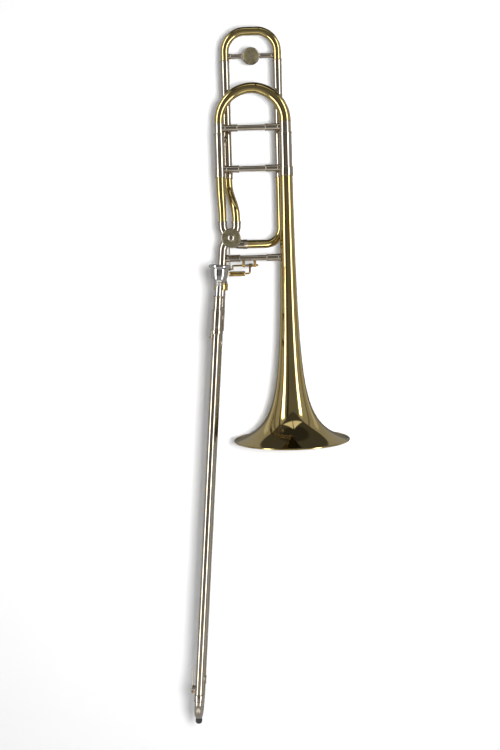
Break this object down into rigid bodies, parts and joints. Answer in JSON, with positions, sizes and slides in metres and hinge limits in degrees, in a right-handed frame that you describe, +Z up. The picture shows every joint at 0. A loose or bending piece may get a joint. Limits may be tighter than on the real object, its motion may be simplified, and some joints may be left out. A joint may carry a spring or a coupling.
{
  "type": "tenor trombone",
  "caption": "Tenor trombone with an open F attachment: sliding U tube, flared bell, tuning slides, thumb-operated rotary valve and mouthpiece.",
  "frame": {"origin": "on the bell's axis 120 mm above its rim, where a stand's cone holds the bell from inside", "axes": "+Z up along the hand slide, +X from the slide towards the bell, -Y towards the mouthpiece side tube"},
  "size_m": [0.2812, 0.216, 1.2953],
  "materials": {
    "lacquered_brass": "polished and lacquered",
    "nickel_silver": "polished nickel silver",
    "silver_plate": "polished silver plate",
    "gold_plate": "polished gold coloured",
    "satin_bronze": "satin",
    "spring_steel": "drawn wire",
    "cork": "natural cork",
    "black_rubber": "matte"
  },
  "bodies": {
    "bell_section": {"bell": "lacquered_brass", "bell_rim_bead": "lacquered_brass", "bell_sleeve": "nickel_silver", "gooseneck_sleeve": "nickel_silver", "gooseneck": "lacquered_brass", "upper_brace": "nickel_silver", "lower_brace": "nickel_silver", "valve_casing": "nickel_silver", "gooseneck_knuckle": "nickel_silver", "f_inlet_knuckle": "nickel_silver", "f_return_knuckle": "nickel_silver", "neckpipe": "nickel_silver", "slide_receiver": "nickel_silver", "front_bearing_plate": "nickel_silver", "back_bearing_plate": "nickel_silver", "stop_corks": "cork", "f_s_bend": "lacquered_brass", "f_return_tube": "lacquered_brass", "f_sleeve_left": "nickel_silver", "f_sleeve_right": "nickel_silver", "trigger_spring": "spring_steel"},
    "main_tuning": {"tuning_crook": "lacquered_brass", "tuning_leg_neck_side": "nickel_silver", "tuning_leg_bell_side": "nickel_silver", "tuning_brace": "nickel_silver"},
    "f_tuning": {"f_crook": "lacquered_brass", "f_leg_left": "nickel_silver", "f_leg_right": "nickel_silver", "f_slide_brace": "nickel_silver", "f_slide_medallion": "satin_bronze"},
    "rotor": {"valve_rotor": "nickel_silver", "stop_arm": "gold_plate"},
    "cap": {"valve_cap": "satin_bronze", "valve_cap_hub": "nickel_silver"},
    "trigger": {"trigger_lever": "gold_plate", "trigger_paddle": "gold_plate"},
    "link": {"trigger_link": "nickel_silver"},
    "inner_slide": {"slide_tenon": "nickel_silver", "inner_tube_lower": "nickel_silver", "inner_tube_upper": "nickel_silver", "cork_barrel_lower": "nickel_silver", "cork_barrel_upper": "nickel_silver", "grip_brace": "nickel_silver", "mouthpiece_receiver": "nickel_silver"},
    "lock_nut": {"bell_lock_nut": "gold_plate"},
    "slide_lock": {"slide_lock_ring": "nickel_silver"},
    "mouthpiece_piece": {"mouthpiece": "silver_plate"},
    "outer_slide": {"outer_tube_lower": "nickel_silver", "outer_tube_upper": "nickel_silver", "outer_brace": "nickel_silver", "slide_bow": "nickel_silver", "bow_end_socket": "nickel_silver", "end_bumper": "black_rubber", "slide_lock_pin": "nickel_silver", "water_key_saddle": "nickel_silver"},
    "water_key": {"water_key_lever": "nickel_silver", "water_key_cork": "cork", "water_key_spring": "spring_steel"}
  },
  "joints": [
    {"name": "slide_swivel", "type": "hinge", "parent": "bell_section", "child": "inner_slide", "pos_m": [-0.13727, 0, 0.07607], "axis": [0, 0, 1], "range_deg": [-20, 20]},
    {"name": "hand_slide", "type": "slide", "parent": "inner_slide", "child": "outer_slide", "axis": [0, 0, -1], "range_m": [0, 0.62]},
    {"name": "main_tuning_slide", "type": "slide", "parent": "bell_section", "child": "main_tuning", "axis": [-0.0785, 0, 0.9969], "range_m": [0, 0.055]},
    {"name": "f_tuning_slide", "type": "slide", "parent": "bell_section", "child": "f_tuning", "axis": [-0.0785, 0, 0.9969], "range_m": [0, 0.09]},
    {"name": "valve_turn", "type": "hinge", "parent": "bell_section", "child": "rotor", "pos_m": [-0.12227, 0, 0.24717], "axis": [0, 1, 0], "range_deg": [0, 90], "stiffness_Nm_per_rad": 0.03, "springref_deg": -17.19},
    {"name": "trigger_turn", "type": "hinge", "parent": "bell_section", "child": "trigger", "pos_m": [-0.08593, 0.01, 0.19967], "axis": [0.9969, 0, 0.0785], "range_deg": [0, 25.9]},
    {"name": "link_turn", "type": "hinge", "parent": "trigger", "child": "link", "pos_m": [-0.12418, 0.0378, 0.19028], "axis": [0.9969, 0, 0.0785], "range_deg": [-25.9, 0]},
    {"name": "valve_cap_turn", "type": "hinge", "parent": "bell_section", "child": "cap", "pos_m": [-0.12227, 0, 0.24717], "axis": [0, -1, 0], "continuous": true},
    {"name": "lock_nut_turn", "type": "hinge", "parent": "inner_slide", "child": "lock_nut", "pos_m": [-0.13727, 0, 0.07607], "axis": [0, 0, 1], "continuous": true},
    {"name": "slide_lock_turn", "type": "hinge", "parent": "inner_slide", "child": "slide_lock", "pos_m": [-0.13727, -0.086, 0.07607], "axis": [0, 0, -1], "range_deg": [0, 16]},
    {"name": "mouthpiece_pull", "type": "slide", "parent": "inner_slide", "child": "mouthpiece_piece", "axis": [0, 0, 1], "range_m": [0, 0.03]},
    {"name": "water_key_turn", "type": "hinge", "parent": "outer_slide", "child": "water_key", "pos_m": [-0.14997, -0.086, -0.57593], "axis": [0, 1, 0], "range_deg": [0, 7], "stiffness_Nm_per_rad": 0.05, "springref_deg": -17.19}
  ],
  "couplings": [
    {"joint": "trigger_turn", "follows": "valve_turn", "ratio": 0.28653},
    {"joint": "link_turn", "follows": "valve_turn", "ratio": -0.28653}
  ]
}
